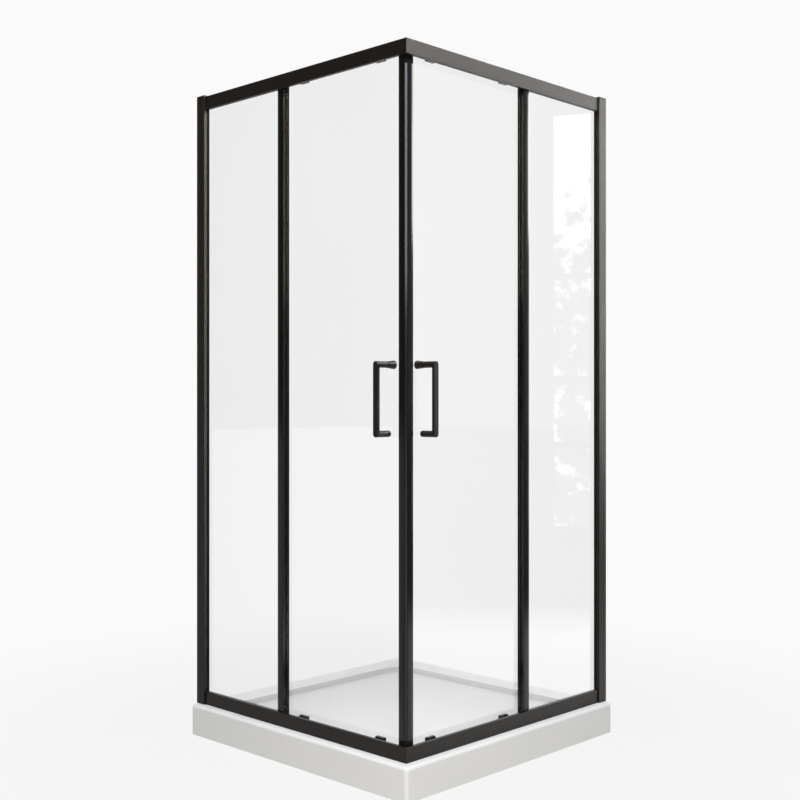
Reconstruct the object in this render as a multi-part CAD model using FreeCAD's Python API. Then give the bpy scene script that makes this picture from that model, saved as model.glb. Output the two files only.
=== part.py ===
import FreeCAD, Part
import os
from math import sqrt

Vector = FreeCAD.Vector
os.makedirs("parts", exist_ok=True)

# Square corner-entry shower enclosure on its tray. Millimetres, +Z up.
# The origin is the centre of the tray's underside. The entrance corner points to -X and -Y,
# the walls of the room stand at +X and +Y.
# Each wing is drawn once, as the wing along X, in a wing frame: s runs from the entrance corner to the wall,
# t from the outer rail face into the shower, z is height above the floor.
# The other wing is its mirror image in the plane x = y.

# Overall sizes
tray_width = 900.0
tray_height = 90.0
tray_overhang = 25.0        # tray edge in front of the rail faces
frame_height = 1832.0       # underside of the bottom rails to top of the top rails

# Tray
tray_rim = 84.0             # flat rim round the recess
recess_depth = 16.5
recess_slope = 1.5          # how far the recess wall leans in
recess_corner = 60.0
tray_corner = 10.0
tray_edge = 9.5             # rounding of the upper edge
tray_skirt = 10.0
tray_floor = 12.0
tray_rib = 8.0
tray_ribs = 4               # ribs each way under the floor
waste_inset = 115.0         # waste centre from both outer rail faces
waste_bore = 31.0           # radius of the hole in the tray
waste_flange = 40.0         # radius
waste_flange_thickness = 2.5
waste_tube = 30.6           # outer radius
waste_wall = 3.0
waste_outlet = 20.0         # outer radius of the outlet spigot
waste_outlet_length = 28.0
waste_lift_off = 4.0        # outlet end above the floor
cover_radius = 36.0
cover_thickness = 2.4
cover_dome = 3.0
cover_skirt_length = 12.0
cover_gap = 5.0             # water gap between cover and flange
cover_slots = 6

# Glass
glass_thickness = 5.0
fixed_glass_setback = 11.0  # outer glass face behind the rail face
door_glass_setback = 26.0
gasket_thickness = 1.0
gasket_lip = 5.5            # gasket that shows beside the wall profile
glass_top_room = 4.0        # free height over the fixed glass

# Rails, the same section at the top and upside down at the bottom
rail_height = 39.0
rail_depth = 46.0
rail_wall = 2.0
rail_edge = 0.8             # rounding of the outer edges
pocket_wall = 1.4
chamber_top = 30.0          # above the open edge
port_height = 33.5          # screw port above the open edge
ledge_low = 12.0            # track ledge above the open edge
ledge_thickness = 2.0
ledge_clearance = 1.0       # ledge end to door glass
bead_radius = 1.2
skirt_wall = 1.6
skirt_height = 14.0

# Wall profile and jamb
wall_profile_width = 36.0
wall_profile_proud = 4.5
wall_profile_rise = 2.0     # above the top rails
wall_profile_wall = 2.0
wall_profile_edge = 1.0
cap_thickness = 1.6
cap_chamfer = 0.5
slide_clearance = 0.2       # jamb in the wall profile
jamb_depth = 27.0
jamb_wall = 2.0
jamb_pocket = 16.0
inner_leg_setback = 12.0    # inner legs of both profiles, behind the outer face
end_cap_wall = 2.0          # moulding on the rail's end beside the wall profile
end_cap_gap = 0.5           # moulding to the wall
end_cap_start = 20.0        # above the open edge
wall_hole = 2.75            # radius
wall_hole_inset = 110.0     # outer holes from the ends
wall_hole_inner_inset = 650.0
access_hole = 4.5           # radius
side_screw_inset = 200.0    # jamb side screws from the ends

# Stiles
stile_width = 24.0
stile_fall = 1.2            # fall of the sloped strips along a stile's front edges
stile_facet = 6.5           # width of those strips
lip_thickness = 2.6
chamber_wall = 1.5
panel_shift = 51.5          # free edge of the fixed stile past the middle of the wing
fixed_stile_face = 8.5      # outer face behind the rail face
fixed_stile_back = 2.0      # inner lip
stile_offset = 1.0          # trailing stile ahead of the fixed stile
slot_depth = 10.0           # glass in the fixed stile
trailing_slot = 16.0        # glass in the trailing stile
leading_end = 47.4          # inner edge of the leading stile
door_stile_standoff = 6.0   # stile face in front of the door glass
leading_slot = 11.0
magnet_gap = 5.7            # front recess, measured along s
back_gap = 0.6              # stile to the corner's diagonal, measured along s
cap_gap = 0.2               # end cap to that diagonal
recess_length = 6.8         # magnet recess, measured along t
magnet_clearance = 0.1
magnet_nose = 0.3           # rounding of the front
upper_cap = 15.0            # end caps that show beyond the rails
lower_cap = 9.0
cap_entry = 8.0             # end caps inside the rails
glass_clearance = 0.3

# Splash seal and door stops. The rear roller bodies of an open door come to a small gap before the stops.
seal_width = 8.0
seal_gap = 0.3
open_room = 12.0            # trailing stile to the jamb when the door is open
stop_gap = 0.3
stop_length = 12.0
stop_start = 20.0           # above the open edge
stop_inset = 1.0            # narrower than the roller body on both sides
stop_nose = 2.0

# Rollers
front_roller = 125.0        # centre from the entrance corner
rear_roller = 62.0          # centre ahead of the trailing stile
body_length = 30.0
body_depth = 10.6
body_end = 34.0             # body reaches this far into the rail
top_body_start = 8.0
bottom_body_start = 2.0
body_edge = 0.8
wheel_radius = 10.0
wheel_width = 5.6
wheel_gap = 0.3             # wheel to track
wheel_face_depth = 0.6
wheel_hub = 5.2
wheel_rim = 8.4
axle_radius = 3.0
running_gap = 0.05
axle_head_radius = 4.2
axle_head = 0.7
axle_head_gap = 0.3
side_gap = 0.1              # wheel to axle head and shoulder
shoulder_radius = 6.5       # on the top axles
stub_shoulder = 5.1         # on the bottom stub axles
bush_radius = 4.6
glass_hole = 5.0            # radius, for the top axles
bolt_head_radius = 5.0
bolt_head = 1.8
door_top = 34.5             # door glass in the top rail
door_bottom = 16.0          # door glass in the bottom rail
slot_width = 1.2            # driver slot

# Release carriage in each bottom roller body
carriage_width = 12.0
carriage_depth = 7.2
carriage_length = 28.0
carriage_gap = 0.1
release_travel = 2.2
front_wall = 1.9
spring_bore = 2.3           # radius
spring_bore_depth = 14.0
spring_radius = 1.6         # to the wire's centre
spring_wire = 0.8           # diameter
spring_turns = 7
spring_end_gap = 0.2
body_floor = 1.6
roller_screw_offset = 10.5
roller_screw_height = 7.0

# Screws
screw_radius = 1.9
frame_screw_length = 7.5
roller_screw_length = 13.0
screw_head_radius = 3.6
screw_head = 2.2
screw_gap = 0.1
driver_reach = 2.0          # cross recess in the head
driver_width = 0.9
driver_sink = 1.2

# Corner cleats
cleat_leg = 70.0
cleat_gap = 0.15
cleat_screws = (28.0, 55.0)

# Handles
handle_position = 97.0
handle_height = 919.4       # above the underside of the frame
handle_spacing = 179.5      # between the legs
handle_radius = 8.5         # legs, and the round ends of the flat bar
handle_thickness = 7.8
handle_edge = 0.8           # rounding round the bar's outer face
handle_projection = 40.4    # outer face in front of the door glass
handle_stud = 3.0           # radius
handle_stud_length = 18.0
handle_bore_gap = 0.05
handle_stud_room = 2.0      # left beyond the stud at the end of its bore
handle_glass_hole = 4.0     # radius
knob_length = 26.8
knob_small = 8.5            # radius at the glass
knob_large = 11.4           # radius at the end
knob_edge = 2.0
nut_length = 8.0
nut_radius = 8.4
nut_edge = 1.8

near_enough = 0.01          # for picking edges by their place

# Worked out from the sizes above
half = tray_width / 2
wing_length = tray_width - tray_overhang
frame_bottom = tray_height
frame_top = frame_bottom + frame_height
lower_edge = frame_bottom + rail_height      # open edge of the bottom rails
upper_edge = frame_top - rail_height         # open edge of the top rails
jamb_face = wing_length - wall_profile_width
profile_top = frame_top + wall_profile_rise
inner_leg = jamb_face + inner_leg_setback
pocket_end = jamb_face + jamb_pocket
jamb_back = jamb_face + jamb_depth
floor_level = tray_height - recess_depth
pocket_low = fixed_glass_setback - gasket_thickness
pocket_high = fixed_glass_setback + glass_thickness + gasket_thickness
pocket_back = pocket_high + pocket_wall
jamb_near = wall_profile_wall + slide_clearance - wall_profile_proud
jamb_far = pocket_high + jamb_wall
profile_far = jamb_far + slide_clearance + wall_profile_wall
chamber_back = pocket_low - rail_wall
port_position = (rail_wall + chamber_back) / 2
web_low = rail_height - rail_wall
ledge_high = ledge_low + ledge_thickness
ledge_end = door_glass_setback - ledge_clearance
door_glass_back = door_glass_setback + glass_thickness
fixed_glass_back = fixed_glass_setback + glass_thickness
wheel_start = pocket_back + axle_head_gap + axle_head + side_gap
wheel_end = wheel_start + wheel_width
axle_end = wheel_start - side_gap
wheel_middle = (wheel_start + wheel_end) / 2
axle_height = ledge_high + wheel_gap + wheel_radius
body_back = door_glass_back + body_depth
carriage_front = door_glass_back + front_wall + carriage_gap
carriage_back = carriage_front + carriage_depth
fixed_stile_start = wing_length / 2 + panel_shift
fixed_stile_end = fixed_stile_start + stile_width
trailing_start = fixed_stile_start - stile_offset
trailing_end = trailing_start + stile_width
door_travel = jamb_face - open_room - trailing_end
roller_positions = {"front": front_roller, "rear": trailing_start - rear_roller}
stop_face = roller_positions["rear"] + body_length / 2 + door_travel + stop_gap
stile_face = door_glass_setback - door_stile_standoff
stile_back = door_glass_back + lip_thickness
handle_z = frame_bottom + handle_height
handle_face = door_glass_setback - handle_projection
handle_legs = {"upper": handle_z + handle_spacing / 2, "lower": handle_z - handle_spacing / 2}
waste_centre = Vector(waste_inset + tray_overhang - half, waste_inset + tray_overhang - half, 0)
along_s = Vector(1, 0, 0)
along_t = Vector(0, 1, 0)
up = Vector(0, 0, 1)


def outline_wire(points, lift):
    # An entry is a corner, or a pair (middle, end) for an arc that ends there. The outline closes by itself.
    first = lift(*points[0])
    last = first
    edges = []
    for entry in points[1:]:
        if isinstance(entry[0], tuple):
            middle = lift(*entry[0])
            end = lift(*entry[1])
            edges.append(Part.Arc(last, middle, end).toShape())
        else:
            end = lift(*entry)
            edges.append(Part.LineSegment(last, end).toShape())
        last = end
    if last.distanceToPoint(first) > near_enough:
        edges.append(Part.LineSegment(last, first).toShape())
    return Part.Wire(edges)


def upright(points, low, high):
    # Prism standing on an outline in s and t.
    wire = outline_wire(points, lambda s, t: Vector(s, t, low))
    return Part.Face(wire).extrude(Vector(0, 0, high - low))


def block(s0, s1, t0, t1, z0, z1):
    return Part.makeBox(s1 - s0, t1 - t0, z1 - z0, Vector(s0, t0, z0))


def rod(radius, start, end):
    return Part.makeCylinder(radius, (end - start).Length, start, end - start)


def turned(points, base, axis):
    # Solid of revolution: points are distance along the axis and radius.
    side = along_s if abs(axis.dot(along_s)) < 0.5 else along_t
    wire = outline_wire(points, lambda along, radius: base + axis * along + side * radius)
    return Part.Face(wire).revolve(base, axis, 360)


def in_row(shape, side):
    # Moves a shape from the wing frame to its place, mirrored for the left wing.
    placed = shape.copy()
    placed.translate(Vector(tray_overhang - half, tray_overhang - half, 0))
    if side == "left":
        placed = placed.mirror(Vector(0, 0, 0), Vector(1, -1, 0))
    return placed


def save(name, shapes):
    shape = shapes[0] if len(shapes) == 1 else Part.makeCompound(shapes)
    shape.exportStep("parts/" + name + ".step")


def save_pair(name, shapes):
    for side in ("left", "right"):
        save(name + "_" + side, [in_row(shape, side) for shape in shapes])


def save_both(name, shapes):
    save(name, [in_row(shape, side) for side in ("left", "right") for shape in shapes])


def above(edge, distance):
    # Height at a distance into the top rail (edge "top") or down into the bottom rail.
    if edge == "top":
        return upper_edge + distance
    return lower_edge - distance


def span(edge, near, far):
    # Lower and higher of two levels given as distances into a rail.
    return sorted((above(edge, near), above(edge, far)))


def screw(head_seat, direction, length):
    # Pan head screw: the head stands on head_seat, the shank runs along direction.
    tip = head_seat + direction * length
    head_top = head_seat - direction * screw_head
    shank = rod(screw_radius, head_seat, tip)
    head = rod(screw_head_radius, head_top, head_seat)
    rim = [edge for edge in head.Edges if edge.BoundBox.Center.distanceToPoint(head_top) < near_enough]
    head = head.makeFillet(screw_head / 2, rim[:1])
    across = along_t if abs(direction.dot(along_t)) < 0.5 else along_s
    other = direction.cross(across)
    for long_way, short_way in ((across, other), (other, across)):
        reach = long_way * driver_reach
        width = short_way * (driver_width / 2)
        corners = [head_top - reach - width, head_top + reach - width,
                   head_top + reach + width, head_top - reach + width]
        cut_face = Part.Face(Part.makePolygon(corners + corners[:1]))
        head = head.cut(cut_face.extrude(direction * driver_sink))
    return head.fuse(shank).removeSplitter()


def screw_hole(head_seat, direction, depth):
    return rod(screw_radius + screw_gap, head_seat, head_seat + direction * depth)


def rounded_square(width, corner, level):
    reach = width / 2
    inner = reach - corner
    bend = inner + corner / sqrt(2)
    points = [(0, -reach), (inner, -reach), ((bend, -bend), (reach, -inner)), (reach, inner),
              ((bend, bend), (inner, reach)), (-inner, reach), ((-bend, bend), (-reach, inner)),
              (-reach, -inner), ((-bend, -bend), (-inner, -reach))]
    return outline_wire(points, lambda x, y: Vector(x, y, level))


# Tray, in the row frame
def shower_tray():
    outer = Part.Face(rounded_square(tray_width, tray_corner, 0)).extrude(up * tray_height)
    top_edges = [edge for edge in outer.Edges if edge.BoundBox.ZMin > tray_height - near_enough]
    tray = outer.makeFillet(tray_edge, top_edges)
    recess_width = tray_width - 2 * tray_rim
    rim_wire = rounded_square(recess_width, recess_corner, tray_height)
    floor_wire = rounded_square(recess_width - 2 * recess_slope, recess_corner - recess_slope, floor_level)
    tray = tray.cut(Part.makeLoft([floor_wire, rim_wire], True, True))
    cells = tray_ribs + 1
    cell = (tray_width - 2 * tray_skirt - tray_ribs * tray_rib) / cells
    starts = [tray_skirt - half + index * (cell + tray_rib) for index in range(cells)]
    for x in starts:
        for y in starts:
            tray = tray.cut(Part.makeBox(cell, cell, floor_level - tray_floor, Vector(x, y, 0)))
    tray = tray.cut(rod(waste_bore, waste_centre, waste_centre + up * tray_height))
    seat = waste_centre + up * (floor_level - waste_flange_thickness)
    return tray.cut(rod(waste_flange + screw_gap, seat, seat + up * tray_height))


def waste_body():
    seat = floor_level - waste_flange_thickness
    outlet_top = waste_lift_off + waste_outlet_length
    inner = waste_tube - waste_wall
    bore = waste_outlet - waste_wall
    points = [(waste_lift_off, bore), (waste_lift_off, waste_outlet), (outlet_top, waste_outlet),
              (outlet_top, waste_tube), (seat, waste_tube), (seat, waste_flange), (floor_level, waste_flange),
              (floor_level, inner), (outlet_top + waste_wall, inner), (outlet_top + waste_wall, bore)]
    return turned(points, waste_centre, up)


def waste_cover():
    # Domed plate on a slotted skirt that stands in the waste body and rests on its flange.
    foot = floor_level - cover_skirt_length
    plate_low = floor_level + cover_gap
    plate_high = plate_low + cover_thickness
    skirt_outer = waste_tube - waste_wall - slide_clearance
    skirt_inner = skirt_outer - waste_wall
    ledge_outer = skirt_outer + waste_wall
    dome_radius = (cover_radius ** 2 + cover_dome ** 2) / (2 * cover_dome)
    dome_centre = waste_centre + up * (plate_high + cover_dome - dome_radius)
    plate = rod(cover_radius, waste_centre + up * plate_low, waste_centre + up * (plate_high + cover_dome))
    plate = plate.common(Part.makeSphere(dome_radius, dome_centre))
    skirt = turned([(foot, skirt_inner), (foot, skirt_outer), (floor_level, skirt_outer),
                    (floor_level, ledge_outer), (plate_low, ledge_outer), (plate_low, skirt_inner)],
                   waste_centre, up)
    for index in range(cover_slots):
        corner = waste_centre + Vector(0, -cover_gap, foot + waste_wall)
        opening = Part.makeBox(2 * ledge_outer, 2 * cover_gap, plate_low - foot - waste_wall, corner)
        opening.rotate(waste_centre, up, 360 * index / cover_slots)
        skirt = skirt.cut(opening)
    return plate.fuse(skirt).removeSplitter()


# Frame, in the wing frame
def rail(edge):
    lift = lambda t, w: Vector(0, t, above(edge, w))
    round_off = rail_edge * (1 - 1 / sqrt(2))
    skirt_low = rail_height - skirt_height
    skirt_face = rail_depth - skirt_wall
    points = [(rail_edge, 0), (pocket_low, 0), (pocket_low, web_low), (pocket_high, web_low),
              (pocket_high, ledge_low), (ledge_end, ledge_low), (ledge_end, ledge_high),
              (wheel_middle + bead_radius, ledge_high),
              ((wheel_middle, ledge_high + bead_radius), (wheel_middle - bead_radius, ledge_high)),
              (pocket_back, ledge_high), (pocket_back, web_low), (skirt_face, web_low),
              (skirt_face, skirt_low), (rail_depth, skirt_low), (rail_depth, rail_height),
              (rail_edge, rail_height),
              ((round_off, rail_height - round_off), (0, rail_height - rail_edge)), (0, rail_edge)]
    wire_points = points[1:] + [((round_off, round_off), points[0])]
    chamber = [(rail_wall, rail_wall), (chamber_back, rail_wall),
               (chamber_back, chamber_top), (rail_wall, chamber_top)]
    body = Part.Face(outline_wire(wire_points, lift)).extrude(along_s * jamb_face)
    body = body.cut(Part.Face(outline_wire(chamber, lift)).extrude(along_s * jamb_face))
    port = lift(port_position, port_height)
    body = body.cut(rod(screw_radius + screw_gap, port, port + along_s * jamb_face))
    mitre = upright([(0, 0), (rail_depth, rail_depth), (0, rail_depth)], frame_bottom, frame_top)
    body = body.cut(mitre)
    for position in cleat_screws:
        seat = cleat_screw_seat(edge, position)
        body = body.cut(screw_hole(seat, along_t * -1, rail_wall))
    return body


def cleat_screw_seat(edge, position):
    return Vector(position, pocket_low, above(edge, (rail_wall + chamber_top) / 2))


def corner_cleat(edge):
    # L-shaped block that joins the two mitred rails inside their outer chambers, in the row frame.
    near = rail_wall + cleat_gap
    far = chamber_back - cleat_gap
    low, high = span(edge, rail_wall + cleat_gap, chamber_top - cleat_gap)
    leg = upright([(near, near), (cleat_leg, near), (cleat_leg, far), (far, far)], low, high)
    for position in cleat_screws:
        seat = cleat_screw_seat(edge, position)
        leg = leg.cut(screw_hole(seat, along_t * -1, frame_screw_length + screw_gap))
    return in_row(leg, "left").fuse(in_row(leg, "right")).removeSplitter()


def jamb_screw_seat(edge):
    return Vector(jamb_face + jamb_wall, port_position, above(edge, port_height))


def side_screw_seats():
    level_low = frame_bottom + side_screw_inset
    level_high = frame_top - side_screw_inset
    levels = (level_low, (level_low + level_high) / 2, level_high)
    return [Vector((pocket_end + jamb_back) / 2, profile_far, level) for level in levels]


def wall_profile():
    # Channel whose outer leg covers the jamb and whose inner leg stays hidden behind the glass edge.
    inner_face = wing_length - wall_profile_wall
    far = profile_far
    near = -wall_profile_proud
    round_off = wall_profile_edge * (1 - 1 / sqrt(2))
    points = [(wing_length, near), (wing_length, far), (inner_leg, far), (inner_leg, far - wall_profile_wall),
              (inner_face, far - wall_profile_wall), (inner_face, near + wall_profile_wall),
              (jamb_face, near + wall_profile_wall), (jamb_face, near + wall_profile_edge),
              ((jamb_face + round_off, near + round_off), (jamb_face + wall_profile_edge, near))]
    profile = upright(points, frame_bottom, profile_top)
    for inset in (wall_hole_inset, wall_hole_inner_inset):
        for level in (frame_bottom + inset, frame_top - inset):
            start = Vector(inner_face, (near + far) / 2, level)
            profile = profile.cut(rod(wall_hole, start, start + along_s * wall_profile_wall))
    for seat in side_screw_seats():
        profile = profile.cut(screw_hole(seat, along_t * -1, wall_profile_wall))
    return profile


def profile_cap():
    cap_top = profile_top + cap_thickness
    cap = block(jamb_face, wing_length, -wall_profile_proud, profile_far, profile_top, cap_top)
    upper = [edge for edge in cap.Edges if edge.BoundBox.ZMin > cap_top - near_enough]
    return cap.makeChamfer(cap_chamfer, upper)


def jamb():
    # Upright that slides in the wall profile and holds the fixed glass in its pocket.
    points = [(jamb_face, jamb_near), (jamb_back, jamb_near), (jamb_back, jamb_far), (inner_leg, jamb_far),
              (inner_leg, pocket_high), (pocket_end, pocket_high), (pocket_end, pocket_low),
              (jamb_face, pocket_low)]
    body = upright(points, frame_bottom, profile_top)
    end = jamb_back - jamb_wall
    hollows = [(jamb_face + jamb_wall, end, jamb_near + jamb_wall, pocket_low - jamb_wall),
               (pocket_end + jamb_wall, end, pocket_low, pocket_high)]
    for s0, s1, t0, t1 in hollows:
        body = body.cut(block(s0, s1, t0, t1, frame_bottom, profile_top))
    for edge in ("top", "bottom"):
        seat = jamb_screw_seat(edge)
        body = body.cut(screw_hole(seat, along_s * -1, jamb_wall))
        body = body.cut(rod(access_hole, seat, seat + along_s * jamb_depth))
    for seat in side_screw_seats():
        body = body.cut(screw_hole(seat, along_t * -1, frame_screw_length))
    return body


def rail_end_cap(edge):
    # Moulding that closes a rail's end beside the wall profile and reaches to the wall, open at the back.
    near = profile_far + slide_clearance
    low, high = span(edge, end_cap_start, rail_height)
    cap = block(jamb_face, wing_length - end_cap_gap, near, rail_depth, low, high)
    hollow = block(jamb_face + end_cap_wall, wing_length, near + end_cap_wall, rail_depth - end_cap_wall,
                   low + end_cap_wall, high - end_cap_wall)
    return cap.cut(hollow)


def frame_screws():
    screws = []
    for edge in ("top", "bottom"):
        screws.append(screw(jamb_screw_seat(edge), along_s * -1, frame_screw_length))
        for position in cleat_screws:
            screws.append(screw(cleat_screw_seat(edge, position), along_t * -1, frame_screw_length))
    for seat in side_screw_seats():
        screws.append(screw(seat, along_t * -1, frame_screw_length))
    return screws


# Fixed panel
def fixed_glass():
    start = fixed_stile_end - slot_depth + glass_clearance
    end = pocket_end - gasket_thickness
    bottom = frame_bottom + rail_wall + gasket_thickness
    top = frame_top - rail_wall - glass_top_room
    return block(start, end, fixed_glass_setback, fixed_glass_back, bottom, top)


def channel(edge):
    # Gasket round the fixed glass in a rail.
    start = fixed_stile_end
    room = 0 if edge == "bottom" else glass_top_room - gasket_thickness
    depth_low, depth_high = span(edge, gasket_thickness, web_low - room)
    strip = block(start, jamb_face, pocket_low, pocket_high, depth_low, depth_high)
    return strip.cut(fixed_glass())


def glazing_gaskets():
    levels = (lower_edge, upper_edge)
    outer_lip = block(jamb_face - gasket_lip, pocket_end, pocket_low, fixed_glass_setback, *levels)
    inner_lip = block(inner_leg, pocket_end, fixed_glass_back, pocket_high, *levels)
    back = block(pocket_end - gasket_thickness, pocket_end, pocket_low, pocket_high, *levels)
    side = outer_lip.fuse(inner_lip).fuse(back).removeSplitter()
    return [channel("top"), channel("bottom"), side]


def stile_front(start, end, face):
    # Flat front with a strip sloped back along each edge.
    edge = face + stile_fall
    return [(start, edge), (start + stile_facet, face), (end - stile_facet, face), (end, edge)]


def fixed_stile():
    face = fixed_stile_face + stile_fall
    back = fixed_glass_back + fixed_stile_back
    slot = fixed_stile_end - slot_depth
    points = stile_front(fixed_stile_start, fixed_stile_end, fixed_stile_face)
    points += [(fixed_stile_end, fixed_glass_setback), (slot, fixed_glass_setback), (slot, fixed_glass_back),
               (fixed_stile_end, fixed_glass_back), (fixed_stile_end, back), (fixed_stile_start, back)]
    stile = upright(points, lower_edge, upper_edge)
    hollow = block(fixed_stile_start + chamber_wall, slot - chamber_wall,
                   face + chamber_wall, back - chamber_wall, lower_edge, upper_edge)
    return stile.cut(hollow)


def splash_seal():
    start = fixed_stile_start + chamber_wall
    end = start + seal_width
    back = fixed_glass_back + fixed_stile_back
    tip = stile_face - seal_gap
    points = [(start, back), (end, back), (((start + end) / 2, tip), (start, back))]
    return upright(points, lower_edge, upper_edge)


def door_stop(edge):
    # Buffer on the web of a rail, behind the door glass, in the way of the rear roller body.
    low, high = span(edge, stop_start, web_low)
    near = door_glass_back + stop_inset
    stop = block(stop_face, stop_face + stop_length, near, body_back - stop_inset, low, high)
    front = [corner for corner in stop.Edges if corner.BoundBox.XMax < stop_face + near_enough]
    nose = [corner for corner in front if corner.BoundBox.ZLength > stop_nose]
    return stop.makeFillet(stop_nose, nose)


# Doors
def door_glass():
    start = leading_end - leading_slot + glass_clearance
    end = trailing_start + trailing_slot - glass_clearance
    bottom = above("bottom", door_bottom)
    top = above("top", door_top)
    glass = block(start, end, door_glass_setback, door_glass_back, bottom, top)
    through = along_t * glass_thickness
    for centre in roller_positions.values():
        hole = Vector(centre, door_glass_setback, above("top", axle_height))
        glass = glass.cut(rod(glass_hole, hole, hole + through))
        for offset in (-roller_screw_offset, roller_screw_offset):
            hole = Vector(centre + offset, door_glass_setback, above("bottom", roller_screw_height))
            glass = glass.cut(rod(screw_radius + screw_gap, hole, hole + through))
    for level in handle_legs.values():
        hole = Vector(handle_position, door_glass_setback, level)
        glass = glass.cut(rod(handle_glass_hole, hole, hole + through))
    return glass


def leading_outline(front_gap):
    # front_gap is the room beside the corner's diagonal: wide for the magnetic strip, narrow on the caps.
    edge = stile_face + stile_fall
    slot = leading_end - leading_slot
    rear_gap = min(front_gap, back_gap)
    points = stile_front(edge + front_gap, leading_end, stile_face)
    points += [(leading_end, door_glass_setback), (slot, door_glass_setback), (slot, door_glass_back),
               (leading_end, door_glass_back), (leading_end, stile_back), (stile_back + rear_gap, stile_back)]
    if front_gap > back_gap:
        recess_end = edge + recess_length
        points += [(recess_end + back_gap, recess_end), (recess_end + front_gap, recess_end)]
    return points


def trailing_outline():
    slot = trailing_start + trailing_slot
    points = stile_front(trailing_start, trailing_end, stile_face)
    points += [(trailing_end, stile_back), (trailing_start, stile_back), (trailing_start, door_glass_back),
               (slot, door_glass_back), (slot, door_glass_setback), (trailing_start, door_glass_setback)]
    return points


def stile(points, hollow_start, hollow_end):
    low = lower_edge + lower_cap
    high = upper_edge - upper_cap
    inside = stile_face + stile_fall + chamber_wall
    hollow = block(hollow_start, hollow_end, inside, door_glass_setback - chamber_wall, low, high)
    return upright(points, low, high).cut(hollow)


def leading_stile():
    return stile(leading_outline(magnet_gap), door_glass_setback + magnet_gap, leading_end - chamber_wall)


def trailing_stile():
    return stile(trailing_outline(), trailing_start + chamber_wall, trailing_end - chamber_wall)


def stile_caps():
    caps = []
    for points in (leading_outline(cap_gap), trailing_outline()):
        caps.append(upright(points, upper_edge - upper_cap, upper_edge + cap_entry))
        caps.append(upright(points, lower_edge - cap_entry, lower_edge + lower_cap))
    return [cap.cut(door_glass()) for cap in caps]


def magnetic_seal():
    # Strip along the corner's diagonal: its section is set out along and across that diagonal.
    edge = stile_face + stile_fall
    front = (2 * edge + magnet_gap) / sqrt(2)
    rear = (2 * (edge + recess_length) + back_gap) / sqrt(2) - magnet_clearance
    near = magnet_clearance * sqrt(2)
    far = (magnet_gap - magnet_clearance) / sqrt(2)
    spot = lambda along, across: ((along + across) / sqrt(2), (along - across) / sqrt(2))
    points = [spot(front, far), spot(rear, far), spot(rear, near), spot(front, near)]
    nose = spot(front - magnet_nose, (near + far) / 2)
    return upright(points[1:] + [(nose, points[0])], lower_edge + lower_cap, upper_edge - upper_cap)


# Handle
def handle_bar():
    # Flat bar with full round ends on two round legs, each with a bore for a stud.
    s0 = handle_position - handle_radius
    s1 = handle_position + handle_radius
    back = handle_face + handle_thickness
    bar = block(s0, s1, handle_face, back, handle_legs["lower"], handle_legs["upper"])
    seats = [Vector(handle_position, door_glass_setback, level) for level in handle_legs.values()]
    for seat in seats:
        bar = bar.fuse(rod(handle_radius, seat - along_t * handle_projection, seat))
    bar = bar.removeSplitter()
    rim = [edge for edge in bar.Edges if edge.BoundBox.YMax < handle_face + near_enough]
    bar = bar.makeFillet(handle_edge, rim)
    for seat in seats:
        bar = bar.cut(rod(handle_stud + handle_bore_gap, seat, seat - along_t * handle_stud_length))
    return bar


def handle_fixing(leg, points):
    base = Vector(handle_position, door_glass_back, handle_legs[leg])
    stud_tip = base - along_t * (glass_thickness + handle_stud_length - handle_stud_room)
    head = turned(points, base, along_t)
    return head.fuse(rod(handle_stud, stud_tip, base))


def handle_knob():
    bend = knob_edge * (1 - 1 / sqrt(2))
    points = [(0, 0), (0, knob_small), (knob_length - knob_edge, knob_large),
              ((knob_length - bend, knob_large - bend), (knob_length, knob_large - knob_edge)),
              (knob_length, 0)]
    return handle_fixing("upper", points)


def handle_nut():
    bend = nut_edge * (1 - 1 / sqrt(2))
    points = [(0, 0), (0, nut_radius), (nut_length - nut_edge, nut_radius),
              ((nut_length - bend, nut_radius - bend), (nut_length, nut_radius - nut_edge)), (nut_length, 0)]
    return handle_fixing("lower", points)


# Rollers
def body_block(centre, edge, start):
    low, high = span(edge, start, body_end)
    s0 = centre - body_length / 2
    solid = block(s0, s0 + body_length, door_glass_back, body_back, low, high)
    rear = [corner for corner in solid.Edges if corner.BoundBox.YMin > body_back - near_enough]
    return solid.makeFillet(body_edge, rear)


def top_body(centre):
    solid = body_block(centre, "top", top_body_start)
    start = Vector(centre, door_glass_back, above("top", axle_height))
    solid = solid.cut(rod(axle_radius + running_gap, start, start + along_t * body_depth))
    seat = start + along_t * (body_depth - bolt_head)
    return solid.cut(rod(bolt_head_radius + running_gap, seat, seat + along_t * bolt_head))


def bottom_body(centre):
    solid = body_block(centre, "bottom", bottom_body_start)
    reach = carriage_width / 2 + carriage_gap
    low, high = span("bottom", 0, body_end - body_floor)
    solid = solid.cut(block(centre - reach, centre + reach,
                            carriage_front - carriage_gap, carriage_back + carriage_gap, low, high))
    window = axle_radius + slide_clearance
    low, high = span("bottom", axle_height - window, axle_height + release_travel + window)
    solid = solid.cut(block(centre - window, centre + window, door_glass_back, carriage_front, low, high))
    for offset in (-roller_screw_offset, roller_screw_offset):
        start = Vector(centre + offset, door_glass_back, above("bottom", roller_screw_height))
        solid = solid.cut(screw_hole(start, along_t, roller_screw_length - glass_thickness + screw_gap))
    return solid


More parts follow.
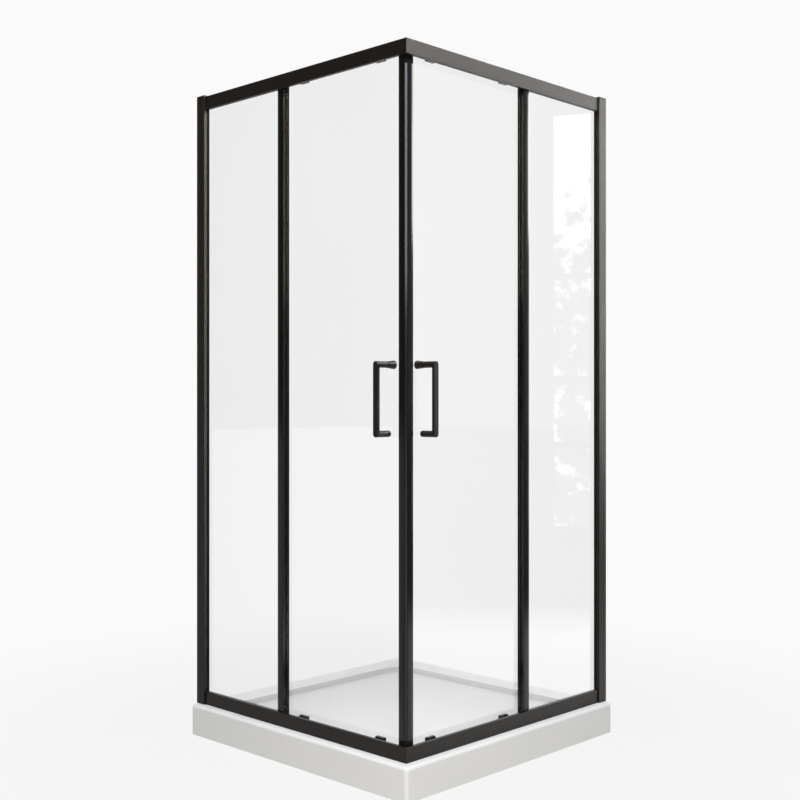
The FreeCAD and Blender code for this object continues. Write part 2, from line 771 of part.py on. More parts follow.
def top_axle(centre):
    # Bolt from the body's inner side through the glass, with the wheel riveted on its outer end.
    level = above("top", axle_height)
    point = lambda t: Vector(centre, t, level)
    axle = rod(axle_radius, point(axle_end), point(body_back))
    axle = axle.fuse(rod(axle_head_radius, point(axle_end - axle_head), point(axle_end)))
    axle = axle.fuse(rod(shoulder_radius, point(wheel_end + side_gap), point(door_glass_setback)))
    axle = axle.fuse(rod(bush_radius, point(door_glass_setback), point(door_glass_back)))
    axle = axle.fuse(rod(bolt_head_radius, point(body_back - bolt_head), point(body_back)))
    cut_low = level - slot_width / 2
    return axle.cut(block(centre - bolt_head_radius, centre + bolt_head_radius,
                          body_back - bolt_head / 2, body_back, cut_low, cut_low + slot_width))


def wheel(centre, edge):
    # Grooved wheel with dished faces, turning about t.
    groove = bead_radius + wheel_gap
    middle = wheel_width / 2
    bore = axle_radius + running_gap
    dish = wheel_face_depth
    points = [(0, bore), (0, wheel_hub), (dish, wheel_hub), (dish, wheel_rim), (0, wheel_rim),
              (0, wheel_radius), (middle - groove, wheel_radius),
              ((middle, wheel_radius - groove), (middle + groove, wheel_radius)),
              (wheel_width, wheel_radius), (wheel_width, wheel_rim), (wheel_width - dish, wheel_rim),
              (wheel_width - dish, wheel_hub), (wheel_width, wheel_hub), (wheel_width, bore)]
    return turned(points, Vector(centre, wheel_start, above(edge, axle_height)), along_t)


def release_carriage(centre):
    # Slider whose upper end is the push button, with the stub axle of the bottom wheel.
    low, high = span("bottom", bottom_body_start, carriage_length)
    slider = block(centre - carriage_width / 2, centre + carriage_width / 2,
                   carriage_front, carriage_back, low, high)
    level = above("bottom", axle_height)
    point = lambda t: Vector(centre, t, level)
    slider = slider.fuse(rod(axle_radius, point(axle_end), point(carriage_front)))
    slider = slider.fuse(rod(axle_head_radius, point(axle_end - axle_head), point(axle_end)))
    slider = slider.fuse(rod(stub_shoulder, point(wheel_end + side_gap), point(door_glass_setback)))
    foot = Vector(centre, (carriage_front + carriage_back) / 2, low)
    return slider.cut(rod(spring_bore, foot, foot + up * spring_bore_depth))


def release_spring(centre):
    # Compression spring between the body's floor and the bore of the carriage.
    low = above("bottom", body_end - body_floor) + spring_end_gap + spring_wire / 2
    high = above("bottom", carriage_length - spring_bore_depth) - spring_end_gap - spring_wire / 2
    pitch = (high - low) / spring_turns
    helix = Part.makeHelix(pitch, high - low, spring_radius)
    helix.translate(Vector(centre, (carriage_front + carriage_back) / 2, low))
    start = helix.Edges[0].valueAt(helix.Edges[0].FirstParameter)
    section = Part.Wire(Part.makeCircle(spring_wire / 2, start, along_t))
    return Part.Wire(helix.Edges).makePipeShell([section], True, True)


def roller_screws(centre):
    seats = [Vector(centre + offset, door_glass_setback, above("bottom", roller_screw_height))
             for offset in (-roller_screw_offset, roller_screw_offset)]
    return [screw(seat, along_t, roller_screw_length) for seat in seats]


save("shower_tray", [shower_tray()])
save("waste_body", [waste_body()])
save("waste_cover", [waste_cover()])
save("corner_cleats", [corner_cleat("top"), corner_cleat("bottom")])
save_pair("top_rail", [rail("top")])
save_pair("bottom_rail", [rail("bottom")])
save_pair("wall_profile", [wall_profile()])
save_pair("jamb", [jamb()])
save_both("profile_caps", [profile_cap()])
save_both("rail_end_caps", [rail_end_cap("top"), rail_end_cap("bottom")])
save_both("frame_screws", frame_screws())
save_pair("fixed_glass", [fixed_glass()])
save_pair("fixed_stile", [fixed_stile()])
save_both("glazing_gaskets", glazing_gaskets())
save_both("splash_seals", [splash_seal()])
save_both("door_stops", [door_stop("top"), door_stop("bottom")])
save_pair("door_glass", [door_glass()])
save_pair("leading_stile", [leading_stile()])
save_pair("trailing_stile", [trailing_stile()])
save_pair("stile_caps", stile_caps())
save_pair("magnetic_seal", [magnetic_seal()])
save_pair("handle_bar", [handle_bar()])
save_pair("handle_knob", [handle_knob()])
save_pair("handle_nut", [handle_nut()])
centres = list(roller_positions.values())
save_pair("top_roller_bodies", [top_body(centre) for centre in centres])
save_pair("bottom_roller_bodies", [bottom_body(centre) for centre in centres])
save_pair("top_axles", [top_axle(centre) for centre in centres])
save_pair("roller_screws", [one for centre in centres for one in roller_screws(centre)])
save_pair("release_springs", [release_spring(centre) for centre in centres])
for place, centre in roller_positions.items():
    save_pair("top_wheel_" + place, [wheel(centre, "top")])
    save_pair("bottom_wheel_" + place, [wheel(centre, "bottom")])
    save_pair("release_carriage_" + place, [release_carriage(centre)])
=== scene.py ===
import bpy
import bmesh
from math import radians, pi, sqrt
from mathutils import Vector, Matrix


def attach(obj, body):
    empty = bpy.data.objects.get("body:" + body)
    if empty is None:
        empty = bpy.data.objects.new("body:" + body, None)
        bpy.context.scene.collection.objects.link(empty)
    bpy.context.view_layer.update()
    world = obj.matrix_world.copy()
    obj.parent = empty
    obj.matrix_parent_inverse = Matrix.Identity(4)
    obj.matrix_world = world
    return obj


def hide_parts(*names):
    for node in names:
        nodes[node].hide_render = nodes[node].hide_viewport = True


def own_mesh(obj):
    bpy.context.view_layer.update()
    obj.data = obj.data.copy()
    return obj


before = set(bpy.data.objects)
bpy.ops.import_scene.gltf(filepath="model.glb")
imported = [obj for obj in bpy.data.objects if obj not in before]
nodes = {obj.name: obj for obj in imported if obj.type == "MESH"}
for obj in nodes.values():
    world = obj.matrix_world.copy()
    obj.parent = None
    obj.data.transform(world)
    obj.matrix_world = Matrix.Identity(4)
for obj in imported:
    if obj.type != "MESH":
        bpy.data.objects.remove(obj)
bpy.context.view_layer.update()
scene = bpy.context.scene
scene.view_settings.view_transform = "Standard"
sides = ("left", "right")
places = ("front", "rear")
mm = 0.001
softDetail = 2.0        # noise detail of broad patterns and of fine ones
fineDetail = 1.0
mixFrom, mixTo, mixResult = 6, 7, 2     # the Mix node's colour sockets
roundSegments = 3
print("frame loaded,", len(nodes), "nodes")


# shared helpers
def hexColour(text):
    channels = [int(text[i:i + 2], 16) / 255 for i in (1, 3, 5)]
    linear = [c / 12.92 if c <= 0.04045 else ((c + 0.055) / 1.055) ** 2.4 for c in channels]
    return tuple(linear) + (1.0,)


pureWhite = hexColour("#ffffff")
pureBlack = hexColour("#000000")


def addNode(tree, kind, sets=None, links=None):
    # sets: socket or property to value, links: socket to the output that feeds it
    node = tree.nodes.new("ShaderNode" + kind)
    for name, value in (sets or {}).items():
        if isinstance(name, int) or name in node.inputs:
            node.inputs[name].default_value = value
        else:
            setattr(node, name, value)
    for name, output in (links or {}).items():
        tree.links.new(output, node.inputs[name])
    return node


def startMaterial(name, sets):
    # a Principled surface with Object coordinates ready for its patterns
    material = bpy.data.materials.new(name)
    material.use_nodes = True
    tree = material.node_tree
    tree.nodes.clear()
    surface = addNode(tree, "BsdfPrincipled", sets)
    addNode(tree, "OutputMaterial", {}, {"Surface": surface.outputs["BSDF"]})
    coords = addNode(tree, "TexCoord").outputs["Object"]
    return material, tree, surface, coords


def perMetre(sizeMm):
    # texture scale that gives a feature of this many millimetres
    return 1 / (sizeMm * mm)


def mottle(tree, surface, coords, spec):
    # one noise varies the colour, and the roughness where the finish has a range of it
    # gives back that noise and the tint
    noise = addNode(tree, "TexNoise", {"Scale": perMetre(spec["patchMm"]), "Detail": spec["detail"]},
                    {"Vector": coords}).outputs["Fac"]
    tint = addNode(tree, "Mix", {"data_type": "RGBA", mixFrom: hexColour(spec["base"]),
                                 mixTo: hexColour(spec["shade"])}, {0: noise}).outputs[mixResult]
    tree.links.new(tint, surface.inputs["Base Color"])
    if "rough" in spec:
        low, high = spec["rough"]
        rough = addNode(tree, "MapRange", {"To Min": low, "To Max": high}, {"Value": noise})
        tree.links.new(rough.outputs["Result"], surface.inputs["Roughness"])
    return noise, tint


def dress(material, *names):
    for name in names:
        for slot in nodes[name].material_slots:
            slot.material = material


def bothSides(*names):
    return [name + "_" + side for name in names for side in sides]


# satin black polyester powder coat on extruded aluminium
# the eye sees a warm near-black with a broad soft sheen and a faint orange peel
powderCoat = {
    "base": "#0f0a06", "shade": "#140e09", "patchMm": 90, "detail": softDetail,
    "rough": (0.34, 0.42), "ior": 1.5, "specular": 0.32,
    # real peel is under 1 mm, drawn coarser so that it shows
    "peelMm": 3.0, "peelHeight": 0.004 * mm,
}

# the same black on the slim door and panel stiles, brushed smoother before coating
# the eye sees thin dark strips with crisp bright edges
glossCoat = {
    "base": "#0a0806", "shade": "#0f0c09", "patchMm": 120, "detail": softDetail,
    "rough": (0.11, 0.15), "ior": 1.5, "specular": 0.4,
    # also drawn coarser than the real peel, and almost flat
    "peelMm": 4.0, "peelHeight": 0.0005 * mm,
}


def powderCoatedAluminium(name, spec):
    material, tree, surface, coords = startMaterial(
        name, {"IOR": spec["ior"], "Specular IOR Level": spec["specular"]})
    mottle(tree, surface, coords, spec)
    peel = addNode(tree, "TexNoise", {"Scale": perMetre(spec["peelMm"]), "Detail": fineDetail},
                   {"Vector": coords})
    bump = addNode(tree, "Bump", {"Distance": spec["peelHeight"]}, {"Height": peel.outputs["Fac"]})
    tree.links.new(bump.outputs["Normal"], surface.inputs["Normal"])
    return material


# clear toughened float glass
# the eye sees almost nothing but a slight grey, and the long roller wave in its reflections
toughened = {"base": "#ffffff", "shade": "#fdfdfe", "patchMm": 320, "detail": 0.0, "ior": 1.52,
             "waveHeight": 0.02 * mm}


def toughenedGlass(spec):
    material, tree, surface, coords = startMaterial(
        "toughenedGlass", {"Transmission Weight": 1.0, "IOR": spec["ior"], "Roughness": 0.0})
    wave = mottle(tree, surface, coords, spec)[0]
    bump = addNode(tree, "Bump", {"Distance": spec["waveHeight"]}, {"Height": wave})
    tree.links.new(bump.outputs["Normal"], surface.inputs["Normal"])
    return material


# white sanitary acrylic, vacuum formed over a mould
# the eye sees a bright even white with a soft gloss and very slight ripples
acrylic = {
    "base": "#eef0f3", "shade": "#e7eaee", "patchMm": 240, "detail": softDetail,
    "rough": (0.42, 0.52), "ior": 1.49, "specular": 0.08,
    "rippleMm": 14, "rippleHeight": 0.012 * mm,
    # painted shade: how far and how dark the recess shades its own walls
    "cornerMetres": 0.12, "cornerShade": 0.25, "cornerSamples": 12,
    # painted shade on the recess floor, a touch darker than the rim: their heights, and how level a
    # face must be
    "levels": (76 * mm, 87 * mm), "upward": (0.5, 0.9), "paintedFloorShade": 0.93,
}


def formedAcrylic(spec):
    material, tree, surface, coords = startMaterial(
        "formedAcrylic", {"IOR": spec["ior"], "Specular IOR Level": spec["specular"]})
    tint = mottle(tree, surface, coords, spec)[1]
    ripple = addNode(tree, "TexNoise", {"Scale": perMetre(spec["rippleMm"]), "Detail": fineDetail},
                     {"Vector": coords})
    bump = addNode(tree, "Bump", {"Distance": spec["rippleHeight"]},
                   {"Height": ripple.outputs["Fac"]})
    tree.links.new(bump.outputs["Normal"], surface.inputs["Normal"])
    # painted shade of the recess walls and floor, multiplied into the plain tint in its place
    sky = addNode(tree, "AmbientOcclusion", {"only_local": True, "samples": spec["cornerSamples"],
                                             "Distance": spec["cornerMetres"]})
    shaded = addNode(tree, "MapRange", {"To Min": spec["cornerShade"], "To Max": 1.0},
                     {"Value": sky.outputs["AO"]})
    height = addNode(tree, "SeparateXYZ", {}, {0: coords}).outputs["Z"]
    normal = addNode(tree, "NewGeometry").outputs["Normal"]
    upward = addNode(tree, "SeparateXYZ", {}, {0: normal}).outputs["Z"]
    steep, flat = spec["upward"]
    # painted shade: level faces low in the recess are darkened
    lowest = addNode(tree, "MapRange", {"From Min": steep, "From Max": flat, "To Min": 1.0,
                                        "To Max": spec["paintedFloorShade"]}, {"Value": upward})
    recess, rim = spec["levels"]
    level = addNode(tree, "MapRange", {"From Min": recess, "From Max": rim, "To Max": 1.0},
                    {"Value": height, "To Min": lowest.outputs["Result"]})
    inside = addNode(tree, "Math", {"operation": "MULTIPLY"},
                     {0: shaded.outputs["Result"], 1: level.outputs["Result"]})
    # the tint darkened by the painted shade of the recess
    paintedShadeTint = addNode(tree, "Mix", {"data_type": "RGBA", mixFrom: pureBlack},
                    {0: inside.outputs[0], mixTo: tint})
    tree.links.new(paintedShadeTint.outputs[mixResult], surface.inputs["Base Color"])
    return material


# moulded plastics and rubber: one recipe, a grain from the mould or the die
mouldings = {
    # ABS from a spark-eroded mould, the end caps: flat black with a fine even grain
    "mouldedAbs": {"base": "#0c0c0b", "shade": "#121211", "patchMm": 1.2, "height": 0.02 * mm,
                   "rough": (0.48, 0.6), "ior": 1.53, "specular": 0.25},
    # ABS from a polished mould, the roller bodies: black with light edges and tops
    "polishedAbs": {"base": "#121211", "shade": "#181817", "patchMm": 4.0, "height": 0.004 * mm,
                    "rough": (0.2, 0.28), "ior": 1.53, "specular": 0.5},
    # acetal, the stiff slippery plastic of sliders: a little glossier than the housing
    "mouldedAcetal": {"base": "#191918", "shade": "#202020", "patchMm": 2.0, "height": 0.008 * mm,
                      "rough": (0.34, 0.44), "ior": 1.48, "specular": 0.5},
    # extruded EPDM: dull black, softly mottled
    "extrudedRubber": {"base": "#121212", "shade": "#1a1a19", "patchMm": 2.5, "height": 0.015 * mm,
                       "rough": (0.66, 0.8), "ior": 1.5, "specular": 0.5},
    # flexible PVC over the magnet band: smooth and shiny, with a blue gleam
    "magnetPvc": {"base": "#0d1013", "shade": "#12161a", "patchMm": 6.0, "height": 0.003 * mm,
                  "rough": (0.14, 0.2), "ior": 1.53, "specular": 0.65, "gleam": "#cde2fa"},
    # turned natural nylon: milky white with a waxy sheen
    "turnedNylon": {"base": "#e7e4da", "shade": "#dcd8cb", "patchMm": 1.5, "height": 0.008 * mm,
                    "rough": (0.38, 0.5), "ior": 1.53, "specular": 0.5},
    # grey polypropylene of the waste fitting
    "mouldedPolypropylene": {"base": "#8f9193", "shade": "#868889", "patchMm": 1.5,
                             "height": 0.012 * mm, "rough": (0.44, 0.56), "ior": 1.49,
                             "specular": 0.5},
}


def mouldedPlastic(name, spec):
    material, tree, surface, coords = startMaterial(name, {
        "IOR": spec["ior"], "Specular IOR Level": spec["specular"],
        "Specular Tint": hexColour(spec.get("gleam", "#ffffff"))})
    grain = mottle(tree, surface, coords, dict(spec, detail=softDetail))[0]
    bump = addNode(tree, "Bump", {"Distance": spec["height"]}, {"Height": grain})
    tree.links.new(bump.outputs["Normal"], surface.inputs["Normal"])
    return material


# bare and plated metals: fine marks from the tool or the die
metals = {
    # bright chrome on the waste cover: a clean mirror with faint polishing marks
    "polishedChrome": {"base": "#d9dbdd", "shade": "#cfd2d4", "patchMm": 5.0, "rough": (0.05, 0.1)},
    # turned stainless axles and drawn spring wire: bright with fine marks
    "turnedStainless": {"base": "#b9b8b4", "shade": "#a5a4a0", "patchMm": 0.8,
                        "rough": (0.22, 0.34)},
    # black zinc plate on the screws: dark grey with a dull shine
    "blackZinc": {"base": "#2b2a29", "shade": "#353433", "patchMm": 1.0, "rough": (0.3, 0.42)},
    # die-cast zinc cleats inside the rails: dull grey skin
    "castZinc": {"base": "#9b9c9d", "shade": "#888a8b", "patchMm": 3.0, "rough": (0.42, 0.56)},
}


def bareMetal(name, spec):
    material, tree, surface, coords = startMaterial(name, {"Metallic": 1.0})
    mottle(tree, surface, coords, dict(spec, detail=softDetail))
    return material


# the pieces in each black coat, and the clear panes
satinPieces = bothSides("top_rail", "bottom_rail", "wall_profile", "jamb",
                        "handle_bar", "handle_knob", "handle_nut")
glossPieces = bothSides("fixed_stile", "leading_stile", "trailing_stile")
panes = bothSides("fixed_glass", "door_glass")

blackFrame = powderCoatedAluminium("satinCoatedAluminium", powderCoat)
blackStile = powderCoatedAluminium("glossCoatedAluminium", glossCoat)
glass = toughenedGlass(toughened)
tray = formedAcrylic(acrylic)
plastic = {name: mouldedPlastic(name, spec) for name, spec in mouldings.items()}
metal = {name: bareMetal(name, spec) for name, spec in metals.items()}
print("materials made:", len(bpy.data.materials))

dress(tray, "shower_tray")
dress(plastic["mouldedPolypropylene"], "waste_body")
dress(metal["polishedChrome"], "waste_cover")
dress(metal["castZinc"], "corner_cleats")
dress(metal["blackZinc"], "frame_screws", *bothSides("roller_screws"))
dress(metal["turnedStainless"], *bothSides("top_axles"))
dress(blackFrame, *satinPieces)
dress(blackStile, *glossPieces)
dress(plastic["mouldedAbs"], "profile_caps", "rail_end_caps", *bothSides("stile_caps"))
dress(plastic["polishedAbs"], *bothSides("top_roller_bodies", "bottom_roller_bodies"))
dress(plastic["mouldedAcetal"], *bothSides("release_carriage_front", "release_carriage_rear"))
dress(plastic["turnedNylon"], *bothSides("top_wheel_front", "top_wheel_rear", "bottom_wheel_front",
                                         "bottom_wheel_rear"))
dress(plastic["extrudedRubber"], "glazing_gaskets", "door_stops")
dress(glass, *panes)
for name in panes:
    nodes[name].visible_shadow = False      # clear panes let the lamps through
print("nodes dressed")


def drawUp(form, section, heights):
    # closed section in millimetres, drawn up between two heights
    low, high = heights
    ring = [form.verts.new((x * mm, y * mm, low * mm)) for x, y in section]
    grown = bmesh.ops.extrude_face_region(form, geom=[form.faces.new(ring)])
    tops = [part for part in grown["geom"] if isinstance(part, bmesh.types.BMVert)]
    bmesh.ops.translate(form, vec=(0, 0, (high - low) * mm), verts=tops)
    return ring


def roundUprights(form, corners, radius):
    # rounds the long edges that rise from these corners of a drawn section
    edges = [edge for corner in corners for edge in corner.link_edges
             if abs(edge.verts[0].co.z - edge.verts[1].co.z) > mm]
    bmesh.ops.bevel(form, geom=edges, offset=radius * mm, affect="EDGES", segments=roundSegments,
                    profile=0.5, material=-1)


def addPiece(form, name, material, body, node):
    bmesh.ops.recalc_face_normals(form, faces=form.faces)
    mesh = bpy.data.meshes.new(name)
    form.to_mesh(mesh)
    form.free()
    mesh.materials.append(material)
    piece = bpy.data.objects.new(name, mesh)
    scene.collection.objects.link(piece)
    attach(piece, body)
    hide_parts(node)
    return piece


# magnetic strips: soft sleeves that meet on the diagonal of the entrance corner
# the eye sees one slim blue-black line, pale where it mirrors the softbox
strip = {
    "corner": -425,                     # where the rail faces meet, x and y alike
    "along": (34.01, 39.9),             # from that corner, along its diagonal
    "across": (0.02, 3.2),              # from the diagonal outwards
    "heights": (138.2, 1867.8),
    "round": 0.5, "groove": 0.25,       # rounded edges, shallow groove down the middle of each
}


def magneticStrip(side, spec):
    turn = 1 if side == "right" else -1
    near, far = spec["across"]
    front, rear = spec["along"]
    middle = (near + far) / 2
    groove = spec["groove"]
    outline = [(front, near), (front, middle - groove), (front + groove, middle),
               (front, middle + groove), (front, far), (rear, far), (rear, near)]
    section = [((along + turn * across) / sqrt(2) + spec["corner"],
                (along - turn * across) / sqrt(2) + spec["corner"]) for along, across in outline]
    form = bmesh.new()
    ring = drawUp(form, section, spec["heights"])
    roundUprights(form, ring[:1] + ring[4:], spec["round"])     # all but the groove's three points
    addPiece(form, "magneticStrip_" + side, plastic["magnetPvc"], "door_" + side,
             "magnetic_seal_" + side)


# splash seals: soft finned strips between the fixed and the trailing stiles
# the eye sees a dull black line in the gap
fins = {"start": 65.6, "width": 7.8, "back": -406.98, "base": 0.5, "rise": 1.1, "count": 3,
        "round": 0.35, "heights": (129.2, 1882.8)}


def splashSeals(spec):
    start, back, low = spec["start"], spec["back"], spec["back"] + spec["base"]
    pitch = spec["width"] / spec["count"]
    outline = [(start + spec["width"], low), (start + spec["width"], back), (start, back)]
    for i in range(spec["count"]):
        outline += [(start + i * pitch, low), (start + (i + 0.5) * pitch, low + spec["rise"])]
    form = bmesh.new()
    for section in (outline, [(y, x) for x, y in outline]):
        ring = drawUp(form, section, spec["heights"])
        roundUprights(form, ring[4::2], spec["round"])      # the fin tips
    addPiece(form, "splashSeals", plastic["extrudedRubber"], "enclosure", "splash_seals")


# release springs: coils of drawn wire that shorten as a roller is pressed down
# the eye sees bright thin turns inside the lower roller bodies
spring = {"depth": -388.4, "places": {"front": -300.0, "rear": 1.0}, "radius": 1.6, "wire": 0.4,
          "turns": 7, "heights": (97.0, 114.6), "press": 2.2, "sides": 8, "steps": 16}


def releaseSpring(side, place, spec):
    along = spec["places"][place]
    centre = (along, spec["depth"]) if side == "right" else (spec["depth"], along)
    low, high = spec["heights"]
    steps = spec["turns"] * spec["steps"]
    form = bmesh.new()
    bmesh.ops.create_circle(form, segments=spec["sides"], radius=spec["wire"] * mm,
                            matrix=Matrix.Rotation(radians(90), 4, "X"))
    start = Vector((centre[0] + spec["radius"], centre[1], low)) * mm
    bmesh.ops.translate(form, vec=start, verts=form.verts)
    bmesh.ops.spin(form, geom=list(form.verts) + list(form.edges),
                   cent=Vector(centre + (low,)) * mm, axis=(0, 0, 1),
                   dvec=(0, 0, (high - low) / steps * mm), angle=2 * pi * spec["turns"], steps=steps)
    bmesh.ops.holes_fill(form, edges=[edge for edge in form.edges if edge.is_boundary], sides=0)
    piece = addPiece(form, "releaseSpring_" + place + "_" + side, metal["turnedStainless"],
                     "door_" + side, "release_springs_" + side)
    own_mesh(piece)


splashSeals(fins)
for side in sides:
    magneticStrip(side, strip)
    for place in places:
        releaseSpring(side, place, spring)
print("strips, seals and springs made")

# studio: pale floor that runs into a white backdrop, soft light from above, the front and the right
# the eye sees white all round, the glass and the coats mirror a dimmer room in front of the set
studio = {
    "white": 0.955,         # what the background shows, linear
    "ambient": 0.22, "floorColour": "#bbb8b2", "floorSize": 60.0,
    # mirrored room: its light from the front round to the right, and where the white backdrop ends
    "room": {"From Min": 0.3, "From Max": 0.9, "To Min": 0.05, "To Max": 0.4},
    "backdrop": {"From Min": 0.3, "From Max": 0.6, "To Min": 1.0, "To Max": 0.0},
    # mirrored floor: its light from left to right of the set, and far out on the right
    "floorRise": {"From Min": -1.2, "From Max": 0.7, "To Min": 0.5, "To Max": 1.2},
    "floorFall": {"From Min": 2.8, "From Max": 2.0, "To Min": 0.2, "To Max": 1.2},
    # the floor's own shading fades into the backdrop over these metres
    "fade": {"From Min": 0.5, "From Max": 2.2, "To Min": 0.9, "To Max": 1.0,
             "interpolation_type": "SMOOTHSTEP"},
}
# ways across the set: to its back and to its right
backward = (0.707, 0.707, 0.0)
rightward = (0.707, -0.707, 0.0)

# lamps: size, place and aim in metres, radiance, and the pieces that a highlight lamp is kept to
# a crisp one shows its outline in what mirrors it
lamps = {
    "topSoftbox": {"size": (3.0, 3.0), "place": (-1.5, -1.7, 3.5), "aim": (0, 0, 0),
                   "radiance": 4.5, "colour": "#fffefc"},
    "frontSoftbox": {"size": (1.35, 1.7), "place": (-3.3, -3.2, 2.5), "aim": (0, 0, 1.0),
                     "radiance": 8.0, "colour": "#fff5e7"},
    "sideSoftbox": {"size": (2.6, 1.6), "place": (2.6, -3.4, 4.6), "aim": (0, 0, 1.4),
                    "radiance": 22.0, "colour": "#fffbf5", "only": satinPieces, "crisp": False},
    "windowSoftbox": {"size": (1.66, 3.6), "place": (3.95, -2.11, 2.4), "aim": (0.43, -0.43, 1.6),
                      "radiance": 5.0, "colour": "#fffcf7", "only": satinPieces, "crisp": False},
    "revealSoftbox": {"size": (1.66, 4.2), "place": (2.5, -3.6, 2.1), "aim": (-0.44, 0.4, 1.6),
                      "radiance": 5.0, "colour": "#fffcf7",
                      "only": ("jamb_left", "wall_profile_left"), "crisp": False},
    "edgeSoftbox": {"size": (1.3, 1.8), "place": (3.3, -1.68, 2.85), "aim": (-0.2, -0.4, 1.6),
                    "radiance": 6.2, "colour": "#fffefc", "only": glossPieces, "crisp": True},
}

# window on the right, mirrored in the last pane: lights between dark bars, sky above leaves
window = {
    "width": 1.8, "place": (3.96, -2.11), "aim": (0.43, -0.43),
    "lights": ((0.2, 0.7), (0.74, 1.11), (1.16, 1.78), (1.82, 2.83)),   # lowest and highest, metres
    "leafMetres": 0.13, "leafDetail": 5.0, "leafRough": 0.62,
    "leaves": {"From Min": 0.53, "From Max": 0.66, "To Min": 0.45, "To Max": 3.4},
    "sky": {"From Min": 1.9, "From Max": 2.7, "To Min": 0.0, "To Max": 0.3},    # grows with height
}
oneBounce = 1.0


def seenByEye(tree):
    # 1 for rays that have met only glass and mirrors, which show the white background
    depth = addNode(tree, "LightPath").outputs["Diffuse Depth"]
    return addNode(tree, "Math", {"operation": "LESS_THAN", 1: oneBounce}, {0: depth}).outputs[0]


def mirrored(tree):
    # 1 once a ray has been mirrored, also where it then goes on through a pane
    depth = addNode(tree, "LightPath").outputs["Glossy Depth"]
    return addNode(tree, "Math", {"operation": "MINIMUM", 1: oneBounce}, {0: depth}).outputs[0]


def dimmed(tree, white, dim, share):
    # the white, less the share of its way down to the dim value
    gap = addNode(tree, "Math", {"operation": "SUBTRACT", 0: white}, {1: dim}).outputs[0]
    drop = addNode(tree, "Math", {"operation": "MULTIPLY"}, {0: share, 1: gap}).outputs[0]
    return addNode(tree, "Math", {"operation": "SUBTRACT", 0: white}, {1: drop}).outputs[0]


def outputOf(tree):
    return [node for node in tree.nodes if node.type == "OUTPUT_MATERIAL"][0]


def makeWorld(spec):
    world = bpy.data.worlds.new("studioAir")
    scene.world = world
    world.use_nodes = True
    tree = world.node_tree
    tree.nodes.clear()
    air = addNode(tree, "Background", {"Color": pureWhite, "Strength": spec["ambient"]})
    way = addNode(tree, "TexCoord").outputs["Generated"]
    back = addNode(tree, "VectorMath", {"operation": "DOT_PRODUCT", 1: backward}, {0: way})
    front = addNode(tree, "MapRange", spec["backdrop"], {"Value": back.outputs["Value"]})
    share = addNode(tree, "Math", {"operation": "MULTIPLY"},
                    {0: mirrored(tree), 1: front.outputs[0]})
    right = addNode(tree, "VectorMath", {"operation": "DOT_PRODUCT", 1: rightward}, {0: way})
    room = addNode(tree, "MapRange", spec["room"], {"Value": right.outputs["Value"]})
    white = addNode(tree, "Background", {"Color": pureWhite},
                    {"Strength": dimmed(tree, spec["white"], room.outputs[0], share.outputs[0])})
    mix = addNode(tree, "MixShader", {}, {0: seenByEye(tree), 1: air.outputs[0],
                                          2: white.outputs[0]})
    addNode(tree, "OutputWorld", {}, {"Surface": mix.outputs[0]})


def facing(spec):
    # turn and place that point a lamp or card at its aim
    way = Vector(spec["aim"]) - Vector(spec["place"])
    turn = way.to_track_quat("-Z", "Y").to_matrix().to_4x4()
    return Matrix.Translation(spec["place"]) @ turn


def makeCard(name, size, place):
    form = bmesh.new()
    bmesh.ops.create_grid(form, x_segments=1, y_segments=1, size=0.5)
    bmesh.ops.scale(form, vec=tuple(size) + (1,), verts=form.verts)
    bmesh.ops.transform(form, matrix=place, verts=form.verts)
    mesh = bpy.data.meshes.new(name)
    form.to_mesh(mesh)
    form.free()
    card = bpy.data.objects.new(name, mesh)
    scene.collection.objects.link(card)
    return card


def makeFloor(spec):
    floor = makeCard("studioFloor", (spec["floorSize"], spec["floorSize"]), Matrix())
    material, tree, surface, coords = startMaterial("paleFloor", {
        "Base Color": hexColour(spec["floorColour"]), "Roughness": 1.0, "Specular IOR Level": 0.0})
    across = addNode(tree, "VectorMath", {"operation": "DOT_PRODUCT", 1: rightward}, {0: coords})
    rise = addNode(tree, "MapRange", spec["floorRise"], {"Value": across.outputs["Value"]})
    fall = addNode(tree, "MapRange", spec["floorFall"], {"Value": across.outputs["Value"]})
    dim = addNode(tree, "Math", {"operation": "MINIMUM"}, {0: rise.outputs[0], 1: fall.outputs[0]})
    white = addNode(tree, "Emission", {"Color": pureWhite},
                    {"Strength": dimmed(tree, spec["white"], dim.outputs[0], mirrored(tree))})
    distance = addNode(tree, "VectorMath", {"operation": "LENGTH"}, {0: coords})
    fade = addNode(tree, "MapRange", spec["fade"], {"Value": distance.outputs["Value"]})
    share = addNode(tree, "Math", {"operation": "MULTIPLY"},
                    {0: fade.outputs[0], 1: seenByEye(tree)})
    mix = addNode(tree, "MixShader", {}, {0: share.outputs[0], 1: surface.outputs[0],
                                          2: white.outputs[0]})
    tree.links.new(mix.outputs[0], outputOf(tree).inputs["Surface"])
    floor.data.materials.append(material)


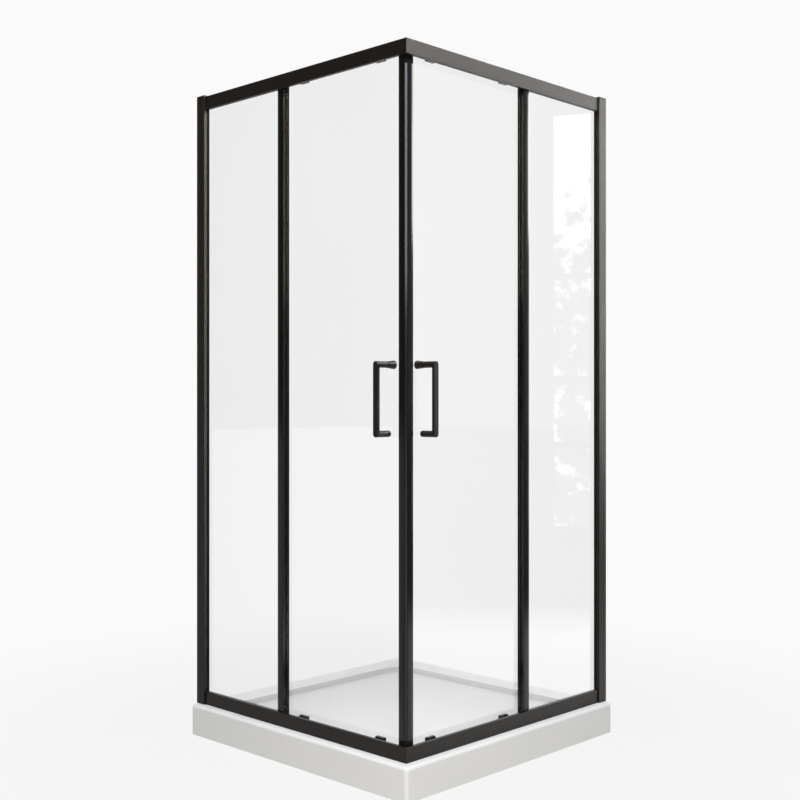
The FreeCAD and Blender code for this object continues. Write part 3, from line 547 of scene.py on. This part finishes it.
def makeLamp(name, spec):
    lamp = bpy.data.lights.new(name, "AREA")
    lamp.shape = "RECTANGLE"
    lamp.size, lamp.size_y = spec["size"]
    lamp.energy = spec["radiance"] * pi * lamp.size * lamp.size_y
    lamp.color = hexColour(spec["colour"])[:3]
    holder = bpy.data.objects.new(name, lamp)
    scene.collection.objects.link(holder)
    holder.matrix_world = facing(spec)
    if "only" in spec:
        coated = bpy.data.collections.new(name)
        for piece in spec["only"]:
            coated.objects.link(nodes[piece])
        holder.light_linking.receiver_collection = coated
        holder.visible_diffuse = False
        lamp.cycles.use_multiple_importance_sampling = spec["crisp"]


def windowLight(spec):
    material, tree, surface, coords = startMaterial("windowLight", {})
    tree.nodes.remove(surface)      # it only gives light
    noise = addNode(tree, "TexNoise", {"Scale": 1 / spec["leafMetres"], "Detail": spec["leafDetail"],
                                       "Roughness": spec["leafRough"]}, {"Vector": coords})
    height = addNode(tree, "SeparateXYZ", {}, {0: coords}).outputs["Z"]
    sky = addNode(tree, "MapRange", spec["sky"], {"Value": height})
    blotch = addNode(tree, "Math", {"operation": "ADD"},
                     {0: noise.outputs["Fac"], 1: sky.outputs[0]})
    leaves = addNode(tree, "MapRange", spec["leaves"], {"Value": blotch.outputs[0]})
    light = addNode(tree, "Emission", {"Color": pureWhite}, {"Strength": leaves.outputs[0]})
    tree.links.new(light.outputs[0], outputOf(tree).inputs["Surface"])
    return material


def makeWindow(spec):
    # seen only by mirror rays, so that it lights nothing
    material = windowLight(spec)
    for index, (low, high) in enumerate(spec["lights"]):
        middle = (low + high) / 2
        turned = facing({"place": spec["place"] + (middle,), "aim": spec["aim"] + (middle,)})
        card = makeCard("windowPane_" + str(index), (spec["width"], high - low), turned)
        card.data.materials.append(material)
        card.visible_camera = False
        card.visible_diffuse = False
        card.visible_transmission = False
        card.visible_shadow = False


makeWorld(studio)
makeFloor(studio)
for name, spec in lamps.items():
    makeLamp(name, spec)
makeWindow(window)
print("studio lit")

# camera: level, at the photograph's place and angle
lens = {"place": (-2.5772, -2.4878, 1.0074), "heading": -45.908, "focal": 53.23, "sensor": 36.0,
        "reach": 200.0}
camera = bpy.data.cameras.new("viewCamera")
camera.lens = lens["focal"]
camera.sensor_width = lens["sensor"]
camera.clip_end = lens["reach"]
eye = bpy.data.objects.new("viewCamera", camera)
scene.collection.objects.link(eye)
eye.location = lens["place"]
eye.rotation_euler = (radians(90), 0, radians(lens["heading"]))
scene.camera = eye
print("camera set")
